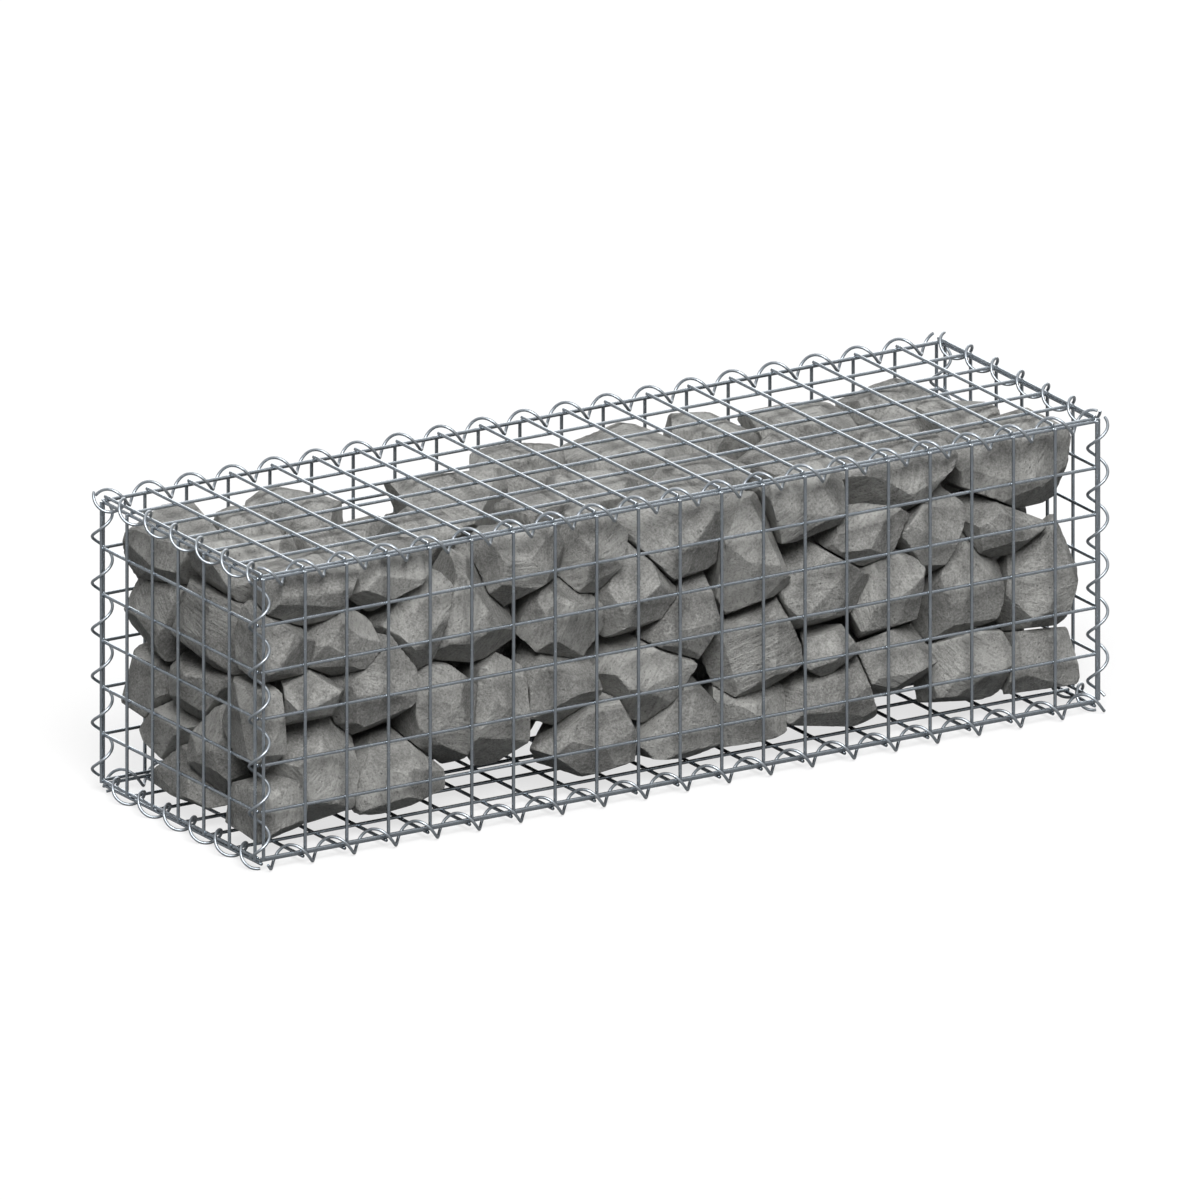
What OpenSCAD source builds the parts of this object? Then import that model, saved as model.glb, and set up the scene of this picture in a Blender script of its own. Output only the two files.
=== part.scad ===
// Gabion wall: a welded-mesh basket laced along its twelve edges with wire spirals and
// filled with broken stone. X runs along the wall, the front faces -Y, Z is up.
// The origin is on the ground, under the middle of the basket.

/* [Basket] */
// Length of the basket along the wall
basket_l = 1000; // [1000:50:1200]
// Depth of the basket from front to back
basket_d = 300; // [300:50:350]
// Height of the basket
basket_h = 300; // [300:50:350]
// Spacing of the mesh wires
mesh_pitch = 50; // [50:50:100]

/* [Wire] */
// Diameter of the mesh wire
wire_d = 3.6; // [3:0.1:3.7]
// Depth to which crossing wires sink into each other at a weld
weld_sink = 0.6; // [0.4:0.1:0.8]
// Sides of a mesh wire
wire_sides = 8; // [6:2:8]

/* [Spirals] */
// Diameter of the spiral's wire
spiral_wire_d = 3.2; // [2.5:0.1:3.4]
// Radius of the spiral at the centre of its wire
spiral_r = 10.4; // [10.2:0.1:11]
// Straight steps in one turn of a spiral
turn_steps = 12; // [8:4:16]
// Sides of the spiral's wire
spiral_sides = 5; // [4:1:8]

/* [Stones] */
// Gap left between neighbouring stones
stone_gap = 1.2; // [0.8:0.1:3]
// Flat facets broken on each stone
stone_facets = 10; // [9:1:16]

/* [Hidden] */

layer = wire_d - weld_sink;              // from the centre of one layer of wires to the next
side_out = 6.5;                          // the front's and back's uprights stand this far outside
end_out = 6.2;                           // the end panels' uprights stand this far outside
lid_out = 1.8;                           // the lid's long wires lie this far above the top cross wires
base_out = 3;                            // the base's long wires lie this far below the bottom ones
tail = 1.3;                              // a wire runs this far past the last wire that it crosses
loose_tail = 3;                          // the lid's and base's cross wires run on this far

// Slope of the spiral's chords, half the bend from one chord to the next, and the spiral's reach.
chord_r = spiral_r / cos(180 / turn_steps);
chord_slope = atan2(mesh_pitch / turn_steps, 2 * chord_r * sin(180 / turn_steps));
half_bend = acos(pow(cos(chord_slope), 2) * cos(360 / turn_steps) + pow(sin(chord_slope), 2)) / 2;
spiral_reach = (chord_r + spiral_wire_d / 2 / cos(half_bend)) * cos(180 / turn_steps);
spiral_low = base_out * 0.75;            // the low spirals' axes lie this far under the bottom wires
base_z = spiral_reach + spiral_low;      // height of the side panels' bottom wires above the ground

half_l = basket_l / 2;
half_d = basket_d / 2;

// Places of the wires across a panel.
function wire_places(span) = [for (i = [0 : round(span / mesh_pitch)]) i * mesh_pitch];

// A straight mesh wire along +Z with a flat of its polygon on each side.
module wire(length)
    rotate([0, 0, 180 / wire_sides])
        cylinder(h = length, d = wire_d / cos(180 / wire_sides), $fn = wire_sides);

// A welded mesh panel: the wires along X lie at z = 0, the wires along Y on top of them.
module mesh_panel(xs, ys, x_tail, y_tail) {
    color([0.55, 0.58, 0.61]) union() {
        for (y = ys)
            translate([xs[0] - x_tail, y, 0])
                rotate([0, 90, 0]) wire(xs[len(xs) - 1] - xs[0] + 2 * x_tail);
        for (x = xs)
            translate([x, ys[0] - y_tail, layer])
                rotate([-90, 0, 0]) wire(ys[len(ys) - 1] - ys[0] + 2 * y_tail);
    }
}

// The long side panel, standing in the XZ plane with its upright wires outside.
module side_panel()
    translate([-half_l, -half_d - side_out + layer, base_z]) rotate([90, 0, 0])
        mesh_panel(wire_places(basket_l), wire_places(basket_h), tail, tail);

module end_panel()
    translate([-half_l - end_out + layer, half_d, base_z]) rotate([90, 0, -90])
        mesh_panel(wire_places(basket_d), wire_places(basket_h), tail, tail);

module lid_panel()
    translate([-half_l, -half_d, base_z + basket_h + lid_out])
        mesh_panel(wire_places(basket_l), wire_places(basket_d), tail, loose_tail);

module base_panel()
    translate([-half_l, half_d, base_z - base_out]) rotate([180, 0, 0])
        mesh_panel(wire_places(basket_l), wire_places(basket_d), tail, loose_tail);

// Ring of the spiral's wire at turn angle a, on the mitre between two chords. Its outer side is
// turned square to the nearest of the spiral's four extremes, so the chords there are flat outside.
function spiral_ring(a, phase) =
    let (
        wire_r = spiral_wire_d / 2 / cos(180 / spiral_sides),
        extreme = 90 * round(a / 90),
        up = [sin(chord_slope) * sin(a), -sin(chord_slope) * cos(a), cos(chord_slope)],
        level = up - [cos(extreme), sin(extreme), 0] * (up * [cos(extreme), sin(extreme), 0])
    )
    [for (k = [0 : spiral_sides - 1])
        let (
            b = 180 / spiral_sides + 360 * k / spiral_sides,
            out = chord_r + wire_r * cos(b) / cos(half_bend)
        )
        [out * cos(a), out * sin(a), (a - phase) / 360 * mesh_pitch] + wire_r * sin(b) * level / norm(level)];

// A right-handed spiral along +Z whose wire would be at angle phase at z = 0. It starts lead steps
// before that and ends run steps after length.
module spiral(length, phase, lead, run) {
    first = 0.5 - lead;
    steps = round(length / mesh_pitch * turn_steps) - 1 + lead + run;
    n = spiral_sides;
    points = [for (i = [0 : steps]) each spiral_ring((i + first) * 360 / turn_steps + phase, phase)];
    sides = [for (i = [0 : steps - 1], k = [0 : n - 1])
        let (p = i * n + k, q = i * n + (k + 1) % n)
        each [[p, p + n, q + n], [p, q + n, q]]];
    ends = [for (k = [1 : n - 2]) each [[0, k, k + 1], [steps * n, steps * n + k + 1, steps * n + k]]];
    color([0.72, 0.74, 0.76]) polyhedron(points, concat(sides, ends));
}

// The places of the spirals, between the two edge wires that each one laces together.
edge_x = half_l + (end_out - layer) / 2;
edge_y = half_d + (side_out - layer) / 2;
post_x = half_l + end_out / 2;
post_y = half_d + side_out / 2;
top_z = base_z + basket_h + lid_out * 0.9;
low_z = base_z - spiral_low;

module spiral_along(y, z, phase, lead = 0, run = 0)
    translate([-half_l, y, z]) rotate([0, 90, 0]) spiral(basket_l, phase, lead, run);

module spiral_across(x, z, phase, lead = 0, run = 0)
    translate([x, half_d, z]) rotate([90, 0, 0]) spiral(basket_d, phase, lead, run);

module spiral_upright(x, y, phase, lead = 0, run = 0)
    translate([x, y, base_z]) spiral(basket_h, phase, lead, run);

// Stones seen in the front: place along X, height, width and height of the stone.
front_stones = [
    [60, 275, 107, 60], [161, 276, 113, 57], [320, 259, 107, 85], [407, 259, 77, 85],
    [507, 253, 130, 105], [593, 219, 83, 120], [657, 263, 100, 75], [780, 269, 165, 70],
    [730, 221, 85, 55], [915, 256, 180, 90], [810, 209, 85, 90],
    [893, 203, 90, 55], [20, 219, 80, 75], [100, 213, 90, 67], [190, 209, 100, 85],
    [263, 213, 113, 113], [363, 193, 87, 80], [457, 209, 110, 100], [513, 163, 80, 95],
    [673, 176, 93, 93], [757, 153, 90, 90], [850, 143, 103, 113], [947, 129, 95, 105],
    [57, 161, 77, 50], [143, 159, 107, 97], [220, 119, 83, 110], [293, 109, 70, 107],
    [370, 123, 100, 80], [473, 113, 130, 80], [607, 116, 113, 93], [687, 106, 63, 50],
    [10, 136, 67, 100], [75, 79, 125, 113], [170, 56, 110, 83],
    [407, 53, 103, 83], [503, 53, 97, 87], [593, 53, 93, 90], [700, 53, 150, 80],
    [760, 76, 100, 63], [853, 56, 107, 77], [947, 46, 97, 72], [10, 42, 90, 60]
];

// Stones seen in the left end: place along Y, height, depth and height of the stone.
end_stones = [
    [215, 268, 135, 62], [132, 212, 105, 100], [218, 200, 100, 95], [143, 143, 120, 62],
    [232, 120, 75, 95], [105, 88, 62, 68], [185, 78, 95, 75], [165, 32, 165, 50]
];

// Stones seen in the lid: place along X and Y, length and depth of the stone.
lid_stones = [
    [150, 120, 90, 95], [180, 225, 75, 100], [275, 130, 80, 90], [350, 205, 110, 110],
    [390, 100, 80, 75], [455, 240, 95, 80], [480, 135, 95, 95], [575, 215, 120, 105],
    [590, 110, 110, 85], [680, 230, 90, 110], [705, 135, 100, 80], [790, 200, 95, 100],
    [820, 110, 95, 70], [880, 215, 100, 95], [925, 125, 80, 85], [78, 130, 105, 95],
    [105, 205, 85, 95]
];

// How the sizes above turn into stones. Stones number from 0 in the front, from end_first in the
// left end, from lid_first in the lid and from fill_first behind them.
side_thick = 0.45;                       // thickness of a front or end stone over its two sizes' sum
lid_thick = 0.38;                        // the same for a lid stone
side_axis = 0.62;                        // semi-axes of a front or end stone over its sizes
lid_axis = 0.6;                          // the same for a lid stone
front_shift = [14, 5, -9];               // the front stones as a whole are moved by this
end_shift = [4, 26, -10];                // the end stones as a whole are moved by this
lid_clear = 3;                           // the lid stones lie this far under the top cross wires
end_first = 100;
lid_first = 200;
fill_first = 300;

// A stone is [centre, semi-axes, number]. Coordinates run from the basket's low front left corner.
function front_stone(s, i) =
    let (depth = (s[2] + s[3]) * side_thick)
    [[s[0], depth / 2, s[1]] + front_shift, side_axis * [s[2], depth, s[3]], i];

function end_stone(s, i) =
    let (depth = (s[2] + s[3]) * side_thick)
    [[depth / 2, s[0], s[1]] + end_shift, side_axis * [depth, s[2], s[3]], end_first + i];

function lid_stone(s, i) =
    let (depth = (s[2] + s[3]) * lid_thick)
    [[s[0], s[1], basket_h - lid_clear - depth / 2], lid_axis * [s[2], s[3], depth], lid_first + i];

placed_stones = concat(
    [for (i = [0 : len(front_stones) - 1]) front_stone(front_stones[i], i)],
    [for (i = [0 : len(end_stones) - 1]) end_stone(end_stones[i], i)],
    [for (i = [0 : len(lid_stones) - 1]) lid_stone(lid_stones[i], i)]
);

// The hidden stones are tried on a staggered grid and kept where the stones so far leave room.
fill_step = [94, 86, 76];                // spacing of the grid
fill_count = [floor(basket_l / fill_step.x), 3, 4];
fill_jitter = [10, 6, 6];                // each stone is moved aside by up to this
fill_stagger = 0.2;                      // every other course is shifted by this share of a step
fill_back = 8;                           // gap behind the last row
fill_floor = 12;                         // gap under the first course
fill_axis = 0.58;                        // semi-axes over the spacing
fill_vary = 0.07;                        // how much that share varies
crowd_limit = 0.7;                       // a stone nearer to another than this is left out

function fill_stone(i) =
    let (
        col = i % fill_count.x,
        row = floor(i / fill_count.x) % fill_count.y,
        course = floor(i / fill_count.x / fill_count.y),
        r = rands(-1, 1, 6, fill_first + i),
        across = col + 0.5 + (course % 2 == 0 ? fill_stagger : -fill_stagger),
        x = across * basket_l / fill_count.x + fill_jitter.x * r[0],
        y = basket_d - fill_back - fill_step.y * (row + 0.5) + fill_jitter.y * r[1],
        z = fill_floor + (basket_h - fill_floor) / fill_count.z * (course + 0.5) + fill_jitter.z * r[2]
    )
    [[x, y, z], [for (k = [0 : 2]) fill_step[k] * (fill_axis + fill_vary * r[3 + k])], fill_first + i];

// Reach of a stone's ellipsoid in direction v.
function reach(s, v) = norm([s[1].x * v.x, s[1].y * v.y, s[1].z * v.z]);

// Distance between two stones, as a share of what their ellipsoids would need to just touch.
function spread(s, o) =
    let (d = o[0] - s[0], n = norm(d))
    n / (reach(s, d / n) + reach(o, d / n));

function crowded(s, others) = len([for (o = others) if (spread(s, o) < crowd_limit) 1]) > 0;

function filled(stones, i) =
    i >= fill_count.x * fill_count.y * fill_count.z ? stones :
    let (s = fill_stone(i))
    filled(crowded(s, stones) ? stones : concat(stones, [s]), i + 1);

all_stones = filled(placed_stones, 0);

// The stones stay inside these planes, clear of the mesh.
inner_lo = [3, 4, 8];
inner_hi = [basket_l - 3, basket_d - 4, basket_h - 2];

facet_low = 0.66;                        // a facet lies this far out, as a share of the ellipsoid
facet_high = 1.0;                        // and this far at the most
facet_turn = 137.508;                    // turn in degrees from one facet's direction to the next
facet_jitter = 0.42;                     // how far each direction is turned aside
contact_lean = 0.38;                     // lean of the planes between neighbouring stones
contact_limit = 1.5;                     // stones further apart than this share of touching don't meet
wall_limit = 1.4;                        // a wall further off than this many semi-axes doesn't count
ridge_lean = 0.34;                       // lean of the two flats of a ridge
ridge_vary = 0.15;                       // how much that lean varies
ridge_depth = 0.93;                      // their distance, as a share of that to the mesh
under_lean = 1.1;                        // lean of the underside that each stone shows
under_vary = 0.45;                       // how much it turns aside
under_depth = 0.76;                      // its distance, as a share of the ellipsoid's

// Directions of the facets: an even spread over the ball, each turned aside a little.
function facet_dirs(seed) =
    let (r = rands(-1, 1, 3 * stone_facets + 1, seed * 7 + 3))
    [for (k = [0 : stone_facets - 1])
        let (
            z = 1 - (2 * k + 1) / stone_facets,
            a = facet_turn * k + 180 * r[3 * stone_facets],
            v = [sqrt(1 - z * z) * cos(a), sqrt(1 - z * z) * sin(a), z],
            w = v + facet_jitter * [r[3 * k], r[3 * k + 1], r[3 * k + 2]]
        )
        w / norm(w)];

// A block whose face stands across v at distance t from the origin.
module behind(v, t, size)
    rotate([0, acos(v.z), atan2(v.y, v.x)])
        translate([-size, -size, t - 2 * size]) cube([2 * size, 2 * size, 2 * size]);

// Normal of the plane between two stones: along the line between them, leaning to one side by an
// amount that is the same for both.
function contact(s, o) =
    let (
        d = (o[0] - s[0]) / norm(o[0] - s[0]),
        lean = rands(-contact_lean, contact_lean, 3, s[2] * o[2] + s[2] + o[2]),
        v = d + (s[2] < o[2] ? 1 : -1) * lean
    )
    v / norm(v);

// A stone is cut by its own facets, by a plane to each neighbour and by the walls. Where it lies
// against the mesh two more flats meet in a ridge, and against a side it shows an underside too.
module stone(s) {
    size = 3 * max(s[1]);
    dirs = facet_dirs(s[2]);
    f = rands(facet_low, facet_high, stone_facets, s[2] * 5 + 1);
    own = [for (k = [0 : stone_facets - 1]) [dirs[k], reach(s, dirs[k]) * f[k]]];
    near = [for (o = all_stones)
        let (d = o[0] - s[0], n = norm(d))
        if (n > 1 && n < contact_limit * (reach(s, d / n) + reach(o, d / n)))
            let (share = reach(s, d / n) / (reach(s, d / n) + reach(o, d / n)), v = contact(s, o))
            [v, share * (d * v) - stone_gap / 2]];
    walls = [for (k = [0 : 2], e = [-1, 1])
        let (
            v = [k == 0 ? e : 0, k == 1 ? e : 0, k == 2 ? e : 0],
            t = e < 0 ? s[0][k] - inner_lo[k] : inner_hi[k] - s[0][k]
        )
        if (t < wall_limit * max(s[1])) [v, t]];
    r = rands(-1, 1, 24, s[2] * 11 + 2);
    ridges = [for (i = [0 : 1 : len(walls) - 1], e = [-1, 1])
        let (
            lean = [r[3 * i], r[3 * i + 1], r[3 * i + 2]],
            w = walls[i][0] + e * (ridge_lean + ridge_vary * r[18 + i]) * lean / norm(lean)
        )
        [w / norm(w), walls[i][1] * ridge_depth]];
    undersides = [for (i = [0 : 1 : len(walls) - 1]) if (walls[i][0].z == 0)
        let (
            w = walls[i][0] + [under_vary * r[3 * i + 1], under_vary * r[3 * i + 2], -under_lean],
            v = w / norm(w)
        )
        [v, reach(s, v) * under_depth]];
    planes = concat(own, near, walls, ridges, undersides);
    translate(s[0]) intersection_for(p = planes) behind(p[0], p[1], size);
}

// Which face a stone shows in, and its course counted from the bottom.
back_from = 0.65;                        // lid and inner stones behind this share of the depth
top_from = 0.75;                         // inner stones above this share of the height

function face_of(s) =
    s[2] < end_first ? "front" :
    s[2] < lid_first ? "left" :
    s[0].y > basket_d * back_from ? "back" :
    s[2] < fill_first || s[0].z > basket_h * top_from ? "top" :
    s[0].x > basket_l - fill_step.x ? "right" : "core";

function course_of(s) = min(3, floor(s[0].z / basket_h * 4));

module stones(face, courses)
    color([0.52, 0.52, 0.50]) translate([-half_l, -half_d, base_z])
        for (s = all_stones)
            if (face_of(s) == face && len(search(course_of(s), courses)) > 0) stone(s);

side_panel();  // front_panel
rotate([0, 0, 180]) side_panel();  // back_panel
end_panel();  // left_end_panel
rotate([0, 0, 180]) end_panel();  // right_end_panel
base_panel();
lid_panel();
spiral_along(-edge_y, top_z, 180, 1, 1);  // spiral_top_front
spiral_along(edge_y, top_z, 150, 2, 0);  // spiral_top_back
spiral_along(-edge_y, low_z, 270, 0, 3);  // spiral_low_front
spiral_along(edge_y, low_z, 30, 0, 0);  // spiral_low_back
spiral_across(-edge_x, top_z, 210, 3, 0);  // spiral_top_left
spiral_across(edge_x, top_z, 60, 0, 0);  // spiral_top_right
spiral_across(-edge_x, low_z, 300, 1, 0);  // spiral_low_left
spiral_across(edge_x, low_z, 300, 0, 0);  // spiral_low_right
spiral_upright(-post_x, -post_y, 150, 0, 0);  // spiral_front_left
spiral_upright(post_x, -post_y, 0, 0, 1);  // spiral_front_right
spiral_upright(-post_x, post_y, 60, 0, 0);  // spiral_back_left
spiral_upright(post_x, post_y, 90, 0, 0);  // spiral_back_right
stones("front", [0]);  // front_stones_1
stones("front", [1]);  // front_stones_2
stones("front", [2]);  // front_stones_3
stones("front", [3]);  // front_stones_4
stones("back", [0]);  // back_stones_1
stones("back", [1]);  // back_stones_2
stones("back", [2]);  // back_stones_3
stones("back", [3]);  // back_stones_4
stones("left", [0, 1, 2, 3]);  // left_end_stones
stones("right", [0, 1, 2, 3]);  // right_end_stones
stones("top", [0, 1, 2, 3]);  // top_stones
stones("core", [0, 1, 2, 3]);  // core_stones
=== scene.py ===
import math

import bpy
import numpy as np
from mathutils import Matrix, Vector


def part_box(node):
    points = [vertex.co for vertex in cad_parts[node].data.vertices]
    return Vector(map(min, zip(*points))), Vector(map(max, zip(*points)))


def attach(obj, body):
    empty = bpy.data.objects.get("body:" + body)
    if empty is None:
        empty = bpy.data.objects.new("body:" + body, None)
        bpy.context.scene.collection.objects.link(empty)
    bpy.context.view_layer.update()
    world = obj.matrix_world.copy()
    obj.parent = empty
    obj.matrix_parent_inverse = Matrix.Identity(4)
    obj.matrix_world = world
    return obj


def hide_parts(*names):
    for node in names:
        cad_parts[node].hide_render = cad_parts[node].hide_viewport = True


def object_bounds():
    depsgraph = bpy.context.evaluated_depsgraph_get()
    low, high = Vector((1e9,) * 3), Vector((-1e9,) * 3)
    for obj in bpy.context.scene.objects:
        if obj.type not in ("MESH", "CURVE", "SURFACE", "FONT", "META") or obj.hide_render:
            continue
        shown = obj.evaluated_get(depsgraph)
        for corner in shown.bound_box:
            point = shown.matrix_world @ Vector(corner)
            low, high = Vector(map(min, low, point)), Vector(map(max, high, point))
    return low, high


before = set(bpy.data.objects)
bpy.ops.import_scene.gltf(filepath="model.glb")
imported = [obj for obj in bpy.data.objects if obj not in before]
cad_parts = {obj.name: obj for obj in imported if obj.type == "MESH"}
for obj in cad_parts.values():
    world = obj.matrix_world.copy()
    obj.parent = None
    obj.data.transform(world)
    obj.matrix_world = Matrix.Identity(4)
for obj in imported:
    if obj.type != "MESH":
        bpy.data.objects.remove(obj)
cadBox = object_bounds()


class Signal:
    # a socket of a node tree that can be added, multiplied and so on like a number
    def __init__(self, tree, socket):
        self.tree = tree
        self.socket = socket

    def maths(self, operation, first, second):
        node = self.tree.nodes.new("ShaderNodeMath")
        node.operation = operation
        feed(self.tree, node.inputs[0], first)
        feed(self.tree, node.inputs[1], second)
        return Signal(self.tree, node.outputs[0])

    def __add__(self, other):
        return self.maths("ADD", self, other)

    def __radd__(self, other):
        return self.maths("ADD", other, self)

    def __sub__(self, other):
        return self.maths("SUBTRACT", self, other)

    def __rsub__(self, other):
        return self.maths("SUBTRACT", other, self)

    def __mul__(self, other):
        return self.maths("MULTIPLY", self, other)

    def __rmul__(self, other):
        return self.maths("MULTIPLY", other, self)


def feed(tree, port, value):
    if isinstance(value, Signal):
        tree.links.new(value.socket, port)
    else:
        port.default_value = value


class Finish:
    # one material, or the world, and what is needed to build its node tree
    def __init__(self, owner):
        owner.use_nodes = True
        self.owner = owner
        self.tree = owner.node_tree
        self.tree.nodes.clear()

    def node(self, kind, settings, sockets, out=0):
        node = self.tree.nodes.new(kind)
        for key, value in settings.items():
            setattr(node, key, value)
        for key, value in sockets.items():
            feed(self.tree, node.inputs[key], value)
        return Signal(self.tree, node.outputs[out]) if node.outputs else None

    def attribute(self, name, out):
        return self.node("ShaderNodeAttribute", {"attribute_name": name}, {}, out)

    def scaled(self, vector, scale):
        return self.node("ShaderNodeMapping", {}, {"Vector": vector, "Scale": scale})

    def noise(self, vector, scale, detail, roughness):
        sockets = {"Vector": vector, "Scale": scale, "Detail": detail, "Roughness": roughness}
        return self.node("ShaderNodeTexNoise", {}, sockets)

    def band(self, value, low, high):
        # 0 up to the low value and 1 from the high one, with a soft step between
        return self.node("ShaderNodeMapRange", {"interpolation_type": "SMOOTHSTEP"},
                         {"Value": value, "From Min": low, "From Max": high})

    def mix(self, share, first, second):
        # Ports 0, 6 and 7 of a colour Mix node are its factor and its two colours. Its result comes
        # out of port 2.
        return self.node("ShaderNodeMix", {"data_type": "RGBA"}, {0: share, 6: first, 7: second}, 2)

    def finishSurface(self, shader):
        self.node("ShaderNodeOutputMaterial", {}, {"Surface": shader})
        return self.owner


def grey(value, warmth=0.0):
    # a grey of that linear value, warmer above zero and cooler below it
    return (value * (1 + warmth), value, value * (1 - warmth), 1)


def makePiece(name, points, faces, attributes, material, creaseAngle):
    # Puts points, faces and vertex attributes into a mesh that rides on the body. Edges that bend
    # more than creaseAngle, in degrees, are kept crisp.
    mesh = bpy.data.meshes.new(name)
    mesh.from_pydata(points.tolist(), [], faces)
    for key, values in attributes.items():
        kind, field = ("FLOAT", "value") if values.ndim == 1 else ("FLOAT_VECTOR", "vector")
        attribute = mesh.attributes.new(key, kind, "POINT")
        attribute.data.foreach_set(field, values.astype(np.float32).ravel())
    mesh.polygons.foreach_set("use_smooth", np.ones(len(faces), bool))
    mesh.set_sharp_from_angle(angle=math.radians(creaseAngle))
    mesh.materials.append(material)
    mesh.update()
    piece = bpy.data.objects.new(name, mesh)
    bpy.context.scene.collection.objects.link(piece)
    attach(piece, "root")
    return piece


stone = {
    "cells": 26,                # cells along each side of a stone's six patches
    "hiddenCells": 10,          # the same for the stones inside
    "sharpness": 400,           # power of the sum over the faces: higher gives sharper edges
    "chips": 3,                 # small flats knocked off corners and edges
    "chipDepth": (0.02, 0.06),  # their depth, as a share of the distance from the middle
    "cornerSnap": 0.4,          # rays this many cells from a corner are moved onto it
    "edgeSnap": 0.5,            # then rays this many cells from an edge onto that
    "thinnest": 0.12,           # moves that make a cell's corner thinner than this are undone
    "undoRounds": 12,           # how often the cells are looked through for that
    "joinDigits": 6,            # points that agree to this many digits of a metre are one
    "planeDigits": 4,           # the same for the planes of a stone's faces
    "leastArea": 1e-9,          # triangles with less than twice this area are left out
    "creaseAngle": 9,           # edges that bend more degrees than this are kept crisp
    "swell": 0.0005,            # how far a face bends in, in metres
    "swellLength": 0.055,       # length of that bend's waves
    "swellWaves": 4,            # how many of them there are
    "pitting": 0.00025,         # depth of the broken surface's unevenness
    "pittingLength": 0.012,
    "pittingWaves": 9,
    "waveSpread": (0.7, 1.4),   # the waves are up to this many times as close
    "waveGain": 0.8,            # how far they swing about the middle of their range
    "patternSpread": 5,         # a stone's pattern starts up to this many metres off
    "seed": 100,
}


def ballGrid(cells):
    # Directions over a ball: six square patches, each (tan a, tan b, 1) brought to length one,
    # with a and b in equal steps from -45 to 45 degrees, joined where their edges meet.
    step = np.tan(np.linspace(-math.pi / 4, math.pi / 4, cells + 1))
    a, b = np.meshgrid(step, step, indexing="ij")
    patches = []
    for axis in range(3):
        for side in (1, -1):
            patch = np.stack([a * side, b, np.full_like(a, side)], -1)
            patches.append(np.roll(patch, axis + 1, axis=-1).reshape(-1, 3))
    rays = np.concatenate(patches)
    rays, place = np.unique(np.round(rays, stone["joinDigits"]), axis=0, return_inverse=True)
    index = place.reshape(6, cells + 1, cells + 1)
    near, far = index[:, :-1], index[:, 1:]
    quads = np.stack([near[..., :-1], far[..., :-1], far[..., 1:], near[..., 1:]], -1)
    return rays / np.linalg.norm(rays, axis=1, keepdims=True), quads.reshape(-1, 4)


def stoneBodies(node):
    # Splits a node's loose triangles into stones: each vertex takes the lowest number among the
    # corners of its triangles until none changes.
    mesh = node.data
    mesh.calc_loop_triangles()
    points = np.empty(len(mesh.vertices) * 3, np.float32)
    mesh.vertices.foreach_get("co", points)
    corners = np.empty(len(mesh.loop_triangles) * 3, np.int32)
    mesh.loop_triangles.foreach_get("vertices", corners)
    points = np.round(points.reshape(-1, 3), stone["joinDigits"])
    joined, place = np.unique(points, axis=0, return_inverse=True)
    triangles = place.ravel()[corners].reshape(-1, 3)
    label = np.arange(len(joined))
    while True:
        lowest = label[triangles].min(axis=1)
        fresh = label.copy()
        for corner in range(3):
            np.minimum.at(fresh, triangles[:, corner], lowest)
        if (fresh == label).all():
            break
        label = fresh
    owner = label[triangles[:, 0]]
    return [joined[triangles[owner == key]] for key in np.unique(owner)]


def facePlanes(triangles):
    # Normals and distances of a stone's faces from its middle, each face once.
    span = np.cross(triangles[:, 1] - triangles[:, 0], triangles[:, 2] - triangles[:, 0])
    area = np.linalg.norm(span, axis=1)
    middle = (triangles.mean(axis=1) * area[:, None]).sum(axis=0) / area.sum()
    solid = area > stone["leastArea"]
    normals = span[solid] / area[solid, None]
    distances = ((triangles[solid, 0] - middle) * normals).sum(axis=1)
    planes = np.column_stack([normals, distances])
    planes = np.unique(np.round(planes, stone["planeDigits"]), axis=0)
    return middle, planes[:, :3], planes[:, 3]


def makeWaves(length, sets, count, random):
    # Sets of sines that run in random directions. A set's height is 0.5 plus its mean times a gain,
    # kept in the range from 0 to 1.
    turns = random.normal(size=(sets, count, 3))
    turns *= (2 * math.pi / length) / np.linalg.norm(turns, axis=2, keepdims=True)
    turns *= random.uniform(*stone["waveSpread"], (sets, count, 1))
    phases = random.uniform(0, 2 * math.pi, (sets, count))

    def height(points):
        mean = np.sin(np.einsum("pk,sck->psc", points, turns) + phases).mean(axis=2)
        return np.clip(0.5 + stone["waveGain"] * mean, 0, 1)
    return height


def unfold(rays, start, quads, least):
    # Moved rays go back to where they started wherever a cell folds over or gets too thin: at each
    # corner of a cell the product ray . (next ray x last ray) has to stay above the least one.
    for _ in range(stone["undoRounds"]):
        corner = rays[quads]
        ahead, behind = np.roll(corner, -1, axis=1), np.roll(corner, 1, axis=1)
        folded = ((corner * np.cross(ahead, behind)).sum(axis=2) < least).any(axis=1)
        back = np.unique(quads[folded])
        rays[back] = start[back]
    return rays


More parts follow.
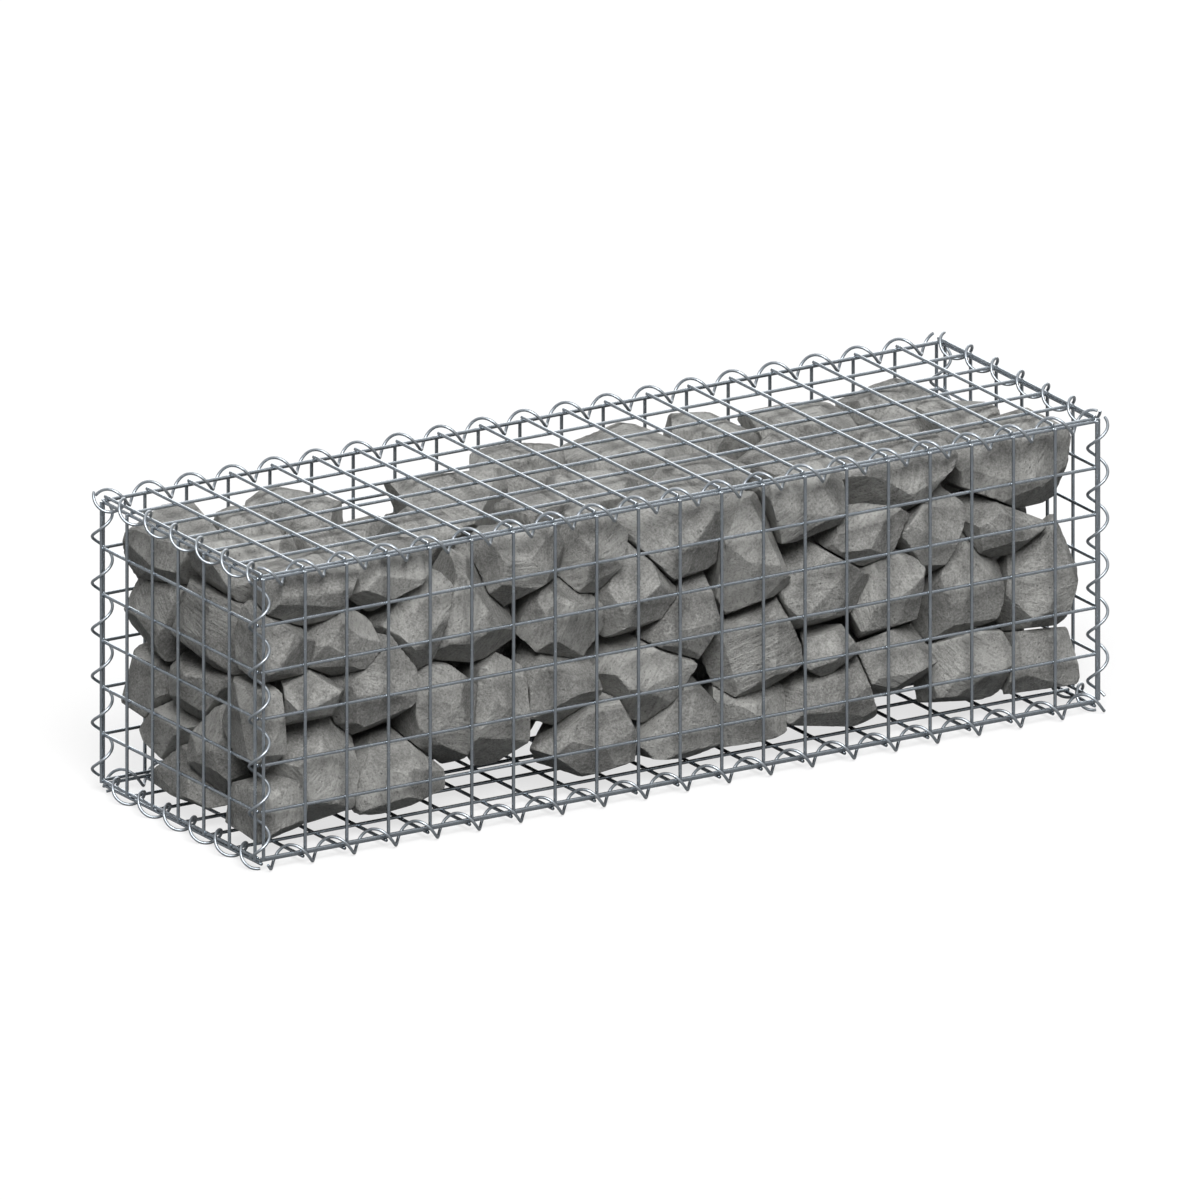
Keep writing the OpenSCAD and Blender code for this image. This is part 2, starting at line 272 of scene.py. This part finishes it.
def shapeStone(triangles, grid, quads, cells, random):
    # A face's share in a ray is normal . ray / distance, and the distance out along the ray is one
    # over the largest share, which gives the many-sided block itself. A power sum in place of the
    # largest rounds its edges, and waves bend each face in. Rays close to a corner or an edge are
    # first moved onto it: two faces' shares are equal on the plane through the middle that holds
    # their edge, and a corner is where two such planes cross.
    middle, normals, distances = facePlanes(triangles)
    corners = triangles.reshape(-1, 3) - middle
    chipNormals = random.normal(size=(stone["chips"], 3))
    chipNormals /= np.linalg.norm(chipNormals, axis=1, keepdims=True)
    chipDepths = 1 - random.uniform(*stone["chipDepth"], stone["chips"])
    normals = np.concatenate([normals, chipNormals])
    distances = np.concatenate([distances, (corners @ chipNormals.T).max(axis=0) * chipDepths])
    swell = makeWaves(stone["swellLength"], len(normals), stone["swellWaves"], random)
    pits = makeWaves(stone["pittingLength"], 1, stone["pittingWaves"], random)

    def bent(rays):
        flat = rays / (rays @ normals.T / distances).max(axis=1)[:, None]
        return distances - stone["swell"] * swell(flat)

    rays = grid * (corners.max(axis=0) - corners.min(axis=0))
    rays /= np.linalg.norm(rays, axis=1, keepdims=True)
    start = rays.copy()
    rows = np.arange(len(rays))
    cell = math.pi / 2 / cells
    for target in ("corner", "edge", "edge"):
        reach = bent(rays)
        share = rays @ normals.T / reach
        third, second, first = np.argsort(share, axis=1)[:, -3:].T
        slopes = [normals[face] / reach[rows, face, None] for face in (first, second, third)]
        lean = slopes[0] - slopes[1]
        if target == "corner":
            corner = np.cross(lean, slopes[0] - slopes[2])
            corner *= np.sign((corner * rays).sum(axis=1))[:, None]
            corner /= np.linalg.norm(corner, axis=1, keepdims=True)
            move = rays - corner
            near = np.linalg.norm(move, axis=1) < stone["cornerSnap"] * cell
        else:
            move = lean * ((lean * rays).sum(axis=1) / (lean * lean).sum(axis=1))[:, None]
            near = np.linalg.norm(move, axis=1) < stone["edgeSnap"] * cell
        rays[near] -= move[near]
        rays /= np.linalg.norm(rays, axis=1, keepdims=True)
    rays = unfold(rays, start, quads, stone["thinnest"] * cell ** 2)
    share = np.maximum(rays @ normals.T / bent(rays), 0)
    power = stone["sharpness"]
    largest = share.max(axis=1)
    total = largest * ((share / largest[:, None]) ** power).sum(axis=1) ** (1 / power)
    flat = rays / total[:, None]
    local = flat - rays * stone["pitting"] * pits(flat)
    weights = (share / total[:, None]) ** power
    turn, _ = np.linalg.qr(random.normal(size=(3, 3)))
    spread = stone["patternSpread"]
    return {
        "points": middle + local,
        "crest": (1 - largest / total) / (1 - 2 ** (-1 / power)),   # 1 where two faces meet
        "faceTone": weights @ random.uniform(0, 1, len(normals)),
        "stoneTone": np.full(len(local), random.uniform()),
        "stoneSpace": local @ turn + random.uniform(-spread, spread, 3),
    }


def outerTriangles(quads, points, middle):
    # Cuts each quad along the diagonal that lies further out from the stone's middle.
    corner = points[quads]
    one = np.linalg.norm((corner[:, 0] + corner[:, 2]) / 2 - middle, axis=1)
    other = np.linalg.norm((corner[:, 1] + corner[:, 3]) / 2 - middle, axis=1)
    turned = np.where((other > one)[:, None], np.roll(quads, -1, axis=1), quads)
    return np.concatenate([turned[:, [0, 1, 2]], turned[:, [0, 2, 3]]])


def makeStones(nodeName, material, seed):
    cells = stone["hiddenCells"] if nodeName == "core_stones" else stone["cells"]
    grid, quads = ballGrid(cells)
    random = np.random.default_rng(seed)
    bodies = stoneBodies(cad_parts[nodeName])
    shaped = [shapeStone(body, grid, quads, cells, random) for body in bodies]
    faces = []
    for number, one in enumerate(shaped):
        triangles = outerTriangles(quads, one["points"], one["points"].mean(axis=0))
        faces.append(triangles + number * len(grid))
    joined = {key: np.concatenate([one[key] for one in shaped]) for key in shaped[0]}
    points = joined.pop("points")
    faces = np.concatenate(faces).tolist()
    piece = makePiece(nodeName + "_broken", points, faces, joined, material,
                      stone["creaseAngle"])
    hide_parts(nodeName)


stonePaint = {
    "darkColour": (0.124, 0.123, 0.118, 1),
    "paleColour": (0.402, 0.400, 0.383, 1),
    # paler colour along the stones' edges: partly wear, partly a painted highlight where the edges
    # catch the light
    "wearAndHighlightColour": (0.42, 0.42, 0.405, 1),
    # painted shade: the near-black colour put inside the pores
    "poreShadeColour": (0.06, 0.06, 0.057, 1),
    "cloud": (22, 4, 0.55),          # each pattern's scale, detail and roughness
    "mottle": (90, 6, 0.75),
    "grain": (420, 3, 0.75),
    "streak": (1, 5, 0.65),
    "streakStretch": (45, 45, 330),  # how close the streaks are along three directions
    "streakFaces": (0.38, 0.68),     # face tones between which they come up
    "tone": {                        # what each pattern and each face adds to the tone
        "cloud": 0.2, "mottle": 0.75, "grain": 1.15, "streak": 1.0, "stone": 0.12, "face": 0.34,
    },
    "toneBand": (0.80, 1.67),        # tones that are all dark and all pale
    "wearAndHighlightMottle": 0.9,               # mottle added to the crest of an edge
    "wearAndHighlightBand": (1.0, 1.7),          # sums of the two between which the wear and the painted edge highlight come up
    "wearAndHighlightShare": 0.10,
    "poreScale": 210,
    "poreBand": (0.08, 0.26),        # from a pore's middle out to its rim
    "porePatch": (0.48, 0.60),       # mottle between which the pores come up
    "poreShadeShare": 0.5,
    "height": {                      # what each adds to the bump, in which pores go down
        "cloud": 0.25, "mottle": 0.9, "grain": 0.8, "streak": 1.5, "pore": 0.6,
    },
    "bump": (1.0, 0.0016),           # its strength, and its depth in metres
    "roughness": (0.82, 0.14),       # the least, and what the grain adds
    "specular": 0.3,
}


def stoneFinish():
    paint = Finish(bpy.data.materials.new("brokenStone"))
    space = paint.attribute("stoneSpace", "Vector")
    crest = paint.attribute("crest", "Fac")
    faceTone = paint.attribute("faceTone", "Fac")
    stoneTone = paint.attribute("stoneTone", "Fac")
    cloud = paint.noise(space, *stonePaint["cloud"])
    mottle = paint.noise(space, *stonePaint["mottle"])
    grain = paint.noise(space, *stonePaint["grain"])
    bands = paint.noise(paint.scaled(space, stonePaint["streakStretch"]), *stonePaint["streak"])
    streak = (bands - 0.5) * paint.band(faceTone, *stonePaint["streakFaces"])
    part = stonePaint["tone"]
    tone = (cloud * part["cloud"] + mottle * part["mottle"] + grain * part["grain"]
            + streak * part["streak"] + stoneTone * part["stone"] + faceTone * part["face"])
    pale = paint.band(tone, *stonePaint["toneBand"])
    colour = paint.mix(pale, stonePaint["darkColour"], stonePaint["paleColour"])
    # Edges are made paler. This is partly wear and partly a painted highlight standing in for light
    # caught on their rounding.
    wearAndHighlight = paint.band(crest + mottle * stonePaint["wearAndHighlightMottle"], *stonePaint["wearAndHighlightBand"])
    colour = paint.mix(wearAndHighlight * stonePaint["wearAndHighlightShare"], colour, stonePaint["wearAndHighlightColour"])
    pit = paint.node("ShaderNodeTexVoronoi", {"feature": "F1"},
                     {"Vector": space, "Scale": stonePaint["poreScale"]}, "Distance")
    patch = paint.band(mottle, *stonePaint["porePatch"])
    pore = (1 - paint.band(pit, *stonePaint["poreBand"])) * patch
    # The pores are painted near-black, which is painted shade inside the pits.
    colour = paint.mix(pore * stonePaint["poreShadeShare"], colour, stonePaint["poreShadeColour"])
    part = stonePaint["height"]
    height = (cloud * part["cloud"] + mottle * part["mottle"] + grain * part["grain"]
              + streak * part["streak"] - pore * part["pore"])
    strength, depth = stonePaint["bump"]
    bump = paint.node("ShaderNodeBump", {},
                      {"Height": height, "Strength": strength, "Distance": depth})
    least, added = stonePaint["roughness"]
    shader = paint.node("ShaderNodeBsdfPrincipled", {}, {
        "Base Color": colour,
        "Roughness": least + grain * added,
        "Normal": bump,
        "Specular IOR Level": stonePaint["specular"],
    }, "BSDF")
    return paint.finishSurface(shader)


panelWire = {
    "pitch": 0.05,             # from one wire to the next
    "radius": 0.0018,
    "tail": 0.0013,            # a wire runs this far past the last one that it crosses
    "looseTail": 0.003,        # the same for the wires that run across the lid and the base
    "sides": 12,
    "creaseAngle": 40,
    "cutLength": 0.2,          # length of a wire's broken end, as a share of its radius
    "cutRadius": 0.8,          # radius at the very end, as a share too
    "bead": (0.0021, 0.0008),  # half width and half height of the metal squeezed out at a weld
    "beadCells": (8, 3),       # its points round and up
    "patternSpread": 3,        # a wire's pattern starts up to this many metres off
    "seed": 200,
    "colour": grey(0.34, -0.10),
    "paleColour": grey(0.42, -0.09),
    "metallic": 0.9,
    "roughness": 0.20,
    "spangle": 260,            # scale of the zinc's crystals
}


def tube(path, across, upward, radii, sides):
    # Point = path + radius (across cos a + upward sin a), for each place of the path and each
    # angle. The rings are joined by quads and each end is closed by one face.
    angle = np.arange(sides) * 2 * math.pi / sides
    ring = across[:, None] * np.cos(angle)[:, None] + upward[:, None] * np.sin(angle)[:, None]
    points = path[:, None] + ring * radii[:, None, None]
    run = np.concatenate([[0], np.cumsum(np.linalg.norm(np.diff(path, axis=0), axis=1))])
    space = np.empty_like(points)
    space[..., 0] = np.cos(angle) * panelWire["radius"]
    space[..., 1] = np.sin(angle) * panelWire["radius"]
    space[..., 2] = run[:, None]
    index = np.arange(len(path) * sides).reshape(len(path), sides)
    ahead = np.roll(index, -1, axis=1)
    quads = np.stack([index[:-1], ahead[:-1], ahead[1:], index[1:]], -1).reshape(-1, 4).tolist()
    caps = [index[0][::-1].tolist(), index[-1].tolist()]
    return points.reshape(-1, 3), quads + caps, space.reshape(-1, 3)


def straightWire(start, end, upward):
    # A straight run with its two ends broken a little where they were cut.
    along = (end - start) / np.linalg.norm(end - start)
    cut = panelWire["radius"] * panelWire["cutLength"]
    path = np.array([start, start + along * cut, end - along * cut, end])
    radii = panelWire["radius"] * np.array([panelWire["cutRadius"], 1, 1, panelWire["cutRadius"]])
    across = np.cross(upward, along)
    rings = (len(path), 1)
    return tube(path, np.tile(across, rings), np.tile(upward, rings), radii, panelWire["sides"])


def weldBead(middle, normal):
    # A flattened ball: circles of radius w cos t at height h sin t, closed by a point at each end.
    halfWidth, halfHeight = panelWire["bead"]
    columns, rows = panelWire["beadCells"]
    turn = np.arange(columns) * 2 * math.pi / columns
    tilt = np.linspace(-math.pi / 2, math.pi / 2, rows + 2)[1:-1]
    first = np.roll(normal, 1)
    second = np.cross(normal, first)
    flat = np.cos(turn)[:, None] * first + np.sin(turn)[:, None] * second
    tilt = tilt[:, None, None]
    rings = np.cos(tilt) * halfWidth * flat + np.sin(tilt) * halfHeight * normal
    tips = np.array([-normal, normal]) * halfHeight
    points = middle + np.concatenate([rings.reshape(-1, 3), tips])
    index = np.arange(columns * rows).reshape(rows, columns)
    ahead = np.roll(index, -1, axis=1)
    quads = np.stack([index[:-1], ahead[:-1], ahead[1:], index[1:]], -1).reshape(-1, 4).tolist()
    low, high = columns * rows, columns * rows + 1
    quads += np.column_stack([ahead[0], index[0], np.full(columns, low)]).tolist()
    quads += np.column_stack([index[-1], ahead[-1], np.full(columns, high)]).tolist()
    return points, quads, points - middle


def joinShells(shells):
    # One list of points, one of faces and one of pattern places for many closed shells.
    points, faces, space, count = [], [], [], 0
    for shellPoints, shellFaces, shellSpace in shells:
        points.append(shellPoints)
        space.append(shellSpace)
        faces += [[corner + count for corner in face] for face in shellFaces]
        count += len(shellPoints)
    return np.concatenate(points), faces, np.concatenate(space)


def wirePlaces(low, high):
    # Places of the wires across a panel, spread evenly about its middle.
    count = int((high - low) / panelWire["pitch"])
    return (low + high) / 2 + (np.arange(count + 1) - count / 2) * panelWire["pitch"]


# for each panel: the axis through its thickness, the axis that its outer wires run along, which
# way its outside faces, and the tails of its outer and its inner wires
panels = {
    "front_panel": (1, 2, -1, ("tail", "tail")),
    "back_panel": (1, 2, 1, ("tail", "tail")),
    "left_end_panel": (0, 2, -1, ("tail", "tail")),
    "right_end_panel": (0, 2, 1, ("tail", "tail")),
    "lid_panel": (2, 1, 1, ("looseTail", "tail")),
    "base_panel": (2, 1, -1, ("looseTail", "tail")),
}


def makePanel(nodeName, material, seed):
    # Outer wires and, across them on the inside, inner ones, with a weld bead at each crossing.
    flatAxis, outerAxis, outward, tails = panels[nodeName]
    outerTail, innerTail = (panelWire[tail] for tail in tails)
    low, high = (np.array(corner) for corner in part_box(nodeName))
    innerAxis = 3 - flatAxis - outerAxis    # the axes are 0, 1 and 2, which add up to 3
    radius = panelWire["radius"]
    spread = panelWire["patternSpread"]
    outerLevel = (high if outward > 0 else low)[flatAxis] - outward * radius
    innerLevel = (low if outward > 0 else high)[flatAxis] + outward * radius
    random = np.random.default_rng(seed)
    normal = np.eye(3)[flatAxis] * outward
    places = {axis: wirePlaces(low[axis], high[axis]) for axis in (outerAxis, innerAxis)}
    shells = []
    for runAxis, crossAxis, level, tail in ((outerAxis, innerAxis, outerLevel, outerTail),
                                            (innerAxis, outerAxis, innerLevel, innerTail)):
        for place in places[crossAxis]:
            start = np.empty(3)
            start[flatAxis] = level
            start[crossAxis] = place
            end = start.copy()
            start[runAxis] = places[runAxis][0] - tail
            end[runAxis] = places[runAxis][-1] + tail
            points, faces, space = straightWire(start, end, normal)
            shells.append((points, faces, space + random.uniform(-spread, spread, 3)))
    middle = np.empty(3)
    middle[flatAxis] = (outerLevel + innerLevel) / 2
    for outerPlace in places[innerAxis]:
        for innerPlace in places[outerAxis]:
            middle[innerAxis] = outerPlace
            middle[outerAxis] = innerPlace
            points, faces, space = weldBead(middle, normal)
            shells.append((points, faces, space + random.uniform(-spread, spread, 3)))
    points, faces, space = joinShells(shells)
    piece = makePiece(nodeName + "_wires", points, faces, {"wireSpace": space}, material,
                      panelWire["creaseAngle"])
    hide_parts(nodeName)


spiral = {
    "radius": 0.01035,     # at the centre of the wire
    "wireRadius": 0.0016,
    "cutRadius": 0.9,      # radius at the very end of the wire, as a share of that
    "pitch": 0.05,         # one turn for each mesh
    "steps": 32,           # rings in a turn
    "sides": 14,
    "creaseAngle": 40,
    "cadSteps": 12,        # straight chords in a turn of the CAD spirals
    "patternSpread": 3,    # a spiral's pattern starts up to this many metres off
    "seed": 300,
    "colour": grey(0.31, -0.09),
    "paleColour": grey(0.39, -0.08),
    "metallic": 0.85,
    "roughness": 0.34,
    "spangle": 330,
}

# for each spiral: the axis that it runs along, the angle at its start in degrees, and the chords
# by which it starts before the first wire and ends past the last one
spiralRuns = {
    "spiral_top_front": ("x", 180, 1, 1),
    "spiral_top_back": ("x", 150, 2, 0),
    "spiral_low_front": ("x", 270, 0, 3),
    "spiral_low_back": ("x", 30, 0, 0),
    "spiral_top_left": ("y", 210, 3, 0),
    "spiral_top_right": ("y", 60, 0, 0),
    "spiral_low_left": ("y", 300, 1, 0),
    "spiral_low_right": ("y", 300, 0, 0),
    "spiral_front_left": ("z", 150, 0, 0),
    "spiral_front_right": ("z", 0, 0, 1),
    "spiral_back_left": ("z", 60, 0, 0),
    "spiral_back_right": ("z", 90, 0, 0),
}

# for each axis: where the helix's own x, y and z directions point
spiralFrames = {
    "x": ((0, 0, -1), (0, 1, 0), (1, 0, 0)),
    "y": ((1, 0, 0), (0, 0, 1), (0, -1, 0)),
    "z": ((1, 0, 0), (0, 1, 0), (0, 0, 1)),
}


def makeSpiral(nodeName, material, seed):
    # A helix: (r cos a, r sin a, pitch a / full turn), with rings of wire square to its run.
    axisName, phase, lead, overrun = spiralRuns[nodeName]
    turned = np.array(spiralFrames[axisName], float)
    low, high = (np.array(corner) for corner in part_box(nodeName))
    axis = "xyz".index(axisName)
    panel = "front_panel" if axis != 1 else "left_end_panel"
    panelLow, panelHigh = (np.array(corner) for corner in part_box(panel))
    places = wirePlaces(panelLow[axis], panelHigh[axis])
    origin = (low + high) / 2
    origin[axis] = places[-1] if axis == 1 else places[0]
    chord = spiral["pitch"] / spiral["cadSteps"]
    first = (0.5 - lead) * chord    # without a lead it starts half a chord in
    last = places[-1] - places[0] - (0.5 - overrun) * chord
    count = int(round((last - first) / spiral["pitch"] * spiral["steps"]))
    run = np.linspace(first, last, count + 1)
    angle = 2 * math.pi * run / spiral["pitch"] + math.radians(phase)
    slope = 2 * math.pi * spiral["radius"] / spiral["pitch"]
    outward = np.column_stack([np.cos(angle), np.sin(angle), np.zeros(count + 1)])
    path = outward * spiral["radius"]
    path[:, 2] = run
    tangent = np.column_stack([-np.sin(angle) * slope, np.cos(angle) * slope, np.ones(count + 1)])
    tangent /= np.linalg.norm(tangent, axis=1, keepdims=True)
    sideways = np.cross(tangent, outward)
    radii = np.full(count + 1, spiral["wireRadius"])
    radii[[0, -1]] *= spiral["cutRadius"]
    path, outward, sideways = (part @ turned for part in (path, outward, sideways))
    points, faces, space = tube(path + origin, outward, sideways, radii, spiral["sides"])
    spread = spiral["patternSpread"]
    space = space + np.random.default_rng(seed).uniform(-spread, spread, 3)
    piece = makePiece(nodeName + "_wire", points, faces, {"wireSpace": space}, material,
                      spiral["creaseAngle"])
    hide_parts(nodeName)


zinc = {
    "drawn": (1600, 3, 0.6),        # scale, detail and roughness of the lines along the wire
    "drawnStretch": (1, 1, 0.06),
    "patch": (85, 4, 0.6),
    "tone": {"patch": 0.6, "crystal": 0.25, "drawn": 0.3},
    "toneBand": (0.3, 0.85),        # tones that have all of the first and all of the pale colour
    "height": {"drawn": 0.5, "patch": 0.5},
    "bump": (0.08, 0.0001),         # its strength, and its depth in metres
    "roughnessAdded": 0.10,         # what the tone adds to a wire's roughness
}


def zincFinish(name, look):
    paint = Finish(bpy.data.materials.new(name))
    space = paint.attribute("wireSpace", "Vector")
    drawn = paint.noise(paint.scaled(space, zinc["drawnStretch"]), *zinc["drawn"])
    patch = paint.noise(space, *zinc["patch"])
    crystal = paint.node("ShaderNodeTexVoronoi", {"feature": "F1"},
                         {"Vector": space, "Scale": look["spangle"]}, "Color")
    crystal = paint.node("ShaderNodeSeparateColor", {}, {"Color": crystal}, 0)
    part = zinc["tone"]
    tone = patch * part["patch"] + crystal * part["crystal"] + drawn * part["drawn"]
    colour = paint.mix(paint.band(tone, *zinc["toneBand"]), look["colour"], look["paleColour"])
    part = zinc["height"]
    height = drawn * part["drawn"] + patch * part["patch"]
    strength, depth = zinc["bump"]
    bump = paint.node("ShaderNodeBump", {},
                      {"Height": height, "Strength": strength, "Distance": depth})
    shader = paint.node("ShaderNodeBsdfPrincipled", {}, {
        "Base Color": colour,
        "Metallic": look["metallic"],
        "Roughness": look["roughness"] + tone * zinc["roughnessAdded"],
        "Normal": bump,
    }, "BSDF")
    return paint.finishSurface(shader)


studio = {
    "azimuth": -31.57,          # the camera's place round the object and above it, in degrees
    "elevation": 18.0,
    "distance": 4.0,
    "width": 1.227,             # what the camera sees, in metres
    "aimLift": 0.001,           # it aims this far above the middle of the basket
    "floorSize": 30.0,
    "floorColour": grey(0.10),  # what the floor gives back to the basket
    "floorShine": grey(0.30),   # what the wires mirror of it
    "floorWhite": 0.92,         # what the camera sees in it, in the open
    "floorLift": 0.72,          # share of plain white that the camera sees on top of that
    "skyStrength": 0.13,
    "skyShine": (0.45, 1.0),    # the sky in reflections, low down and overhead
    "skyBand": (0.45, 0.9),     # heights between which the one goes over into the other
    "lamps": {                  # strength, direction it comes from, and its width in degrees
        "key": (4.2, (-0.30, -0.60, 0.72), 34),
        "back": (2.4, (0.50, 0.83, 0.13), 60),
    },
}


def viewDirection():
    turn, rise = math.radians(studio["azimuth"]), math.radians(studio["elevation"])
    level = math.cos(rise)
    return Vector((math.sin(turn) * level, -math.cos(turn) * level, math.sin(rise)))


def aimAlong(owner, direction):
    owner.rotation_euler = direction.to_track_quat("-Z", "Y").to_euler()


def makeCamera():
    low, high = cadBox
    aim = (low + high) / 2 + Vector((0, 0, studio["aimLift"]))
    lens = bpy.data.cameras.new("camera")
    lens.type = "ORTHO"
    lens.ortho_scale = studio["width"]
    camera = bpy.data.objects.new("camera", lens)
    camera.location = aim + viewDirection() * studio["distance"]
    aimAlong(camera, -viewDirection())
    bpy.context.scene.collection.objects.link(camera)
    bpy.context.scene.camera = camera


def makeLamps():
    for name, (strength, source, width) in studio["lamps"].items():
        sun = bpy.data.lights.new(name, "SUN")
        sun.energy = strength
        sun.angle = math.radians(width)
        lamp = bpy.data.objects.new(name, sun)
        aimAlong(lamp, -Vector(source))
        bpy.context.scene.collection.objects.link(lamp)


def makeWorld():
    # The sky is plain white to the camera and a soft light to all else. Reflections of it are
    # brighter overhead than near the horizon.
    world = bpy.data.worlds.new("sky")
    bpy.context.scene.world = world
    paint = Finish(world)
    seen = paint.node("ShaderNodeLightPath", {}, {}, "Is Camera Ray")
    mirrored = paint.node("ShaderNodeLightPath", {}, {}, "Is Glossy Ray")
    direction = paint.node("ShaderNodeTexCoord", {}, {}, "Generated")
    height = paint.node("ShaderNodeSeparateXYZ", {}, {"Vector": direction}, "Z")
    soft, low, high, white = (
        paint.node("ShaderNodeBackground", {}, {"Color": grey(1), "Strength": strength})
        for strength in (studio["skyStrength"], *studio["skyShine"], 1.0))
    overhead = paint.band(height, *studio["skyBand"])
    shine = paint.node("ShaderNodeMixShader", {}, {0: overhead, 1: low, 2: high})
    light = paint.node("ShaderNodeMixShader", {}, {0: mirrored, 1: soft, 2: shine})
    both = paint.node("ShaderNodeMixShader", {}, {0: seen, 1: light, 2: white})
    paint.node("ShaderNodeOutputWorld", {}, {"Surface": both})


def makeFloor():
    # White to the camera, with the basket's shadow on it, and greyer in reflections and in the
    # light that it gives back.
    half = studio["floorSize"] / 2
    sheet = bpy.data.meshes.new("floor")
    corners = [(-half, -half, 0), (half, -half, 0), (half, half, 0), (-half, half, 0)]
    sheet.from_pydata(corners, [], [(0, 1, 2, 3)])
    paint = Finish(bpy.data.materials.new("floor"))
    seen = paint.node("ShaderNodeLightPath", {}, {}, "Is Camera Ray")
    mirrored = paint.node("ShaderNodeLightPath", {}, {}, "Is Glossy Ray")
    unseen = paint.mix(mirrored, studio["floorColour"], studio["floorShine"])
    colour = paint.mix(seen, unseen, grey(studio["floorWhite"]))
    matte = paint.node("ShaderNodeBsdfDiffuse", {}, {"Color": colour})
    white = paint.node("ShaderNodeEmission", {}, {"Color": grey(1), "Strength": 1.0})
    lift = seen * studio["floorLift"]
    both = paint.node("ShaderNodeMixShader", {}, {0: lift, 1: matte, 2: white})
    sheet.materials.append(paint.finishSurface(both))
    floor = bpy.data.objects.new("floor", sheet)
    bpy.context.scene.collection.objects.link(floor)


print("stones")
stoneMaterial = stoneFinish()
stoneNodes = [name for name in sorted(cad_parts) if "_stones" in name]
for number, name in enumerate(stoneNodes):
    makeStones(name, stoneMaterial, stone["seed"] + number)

print("mesh panels")
meshMaterial = zincFinish("zincMesh", panelWire)
for number, name in enumerate(panels):
    makePanel(name, meshMaterial, panelWire["seed"] + number)

print("spirals")
spiralMaterial = zincFinish("zincSpiral", spiral)
for number, name in enumerate(spiralRuns):
    makeSpiral(name, spiralMaterial, spiral["seed"] + number)

print("studio")
makeFloor()
makeWorld()
makeLamps()
makeCamera()
bpy.context.scene.view_settings.view_transform = "Standard"
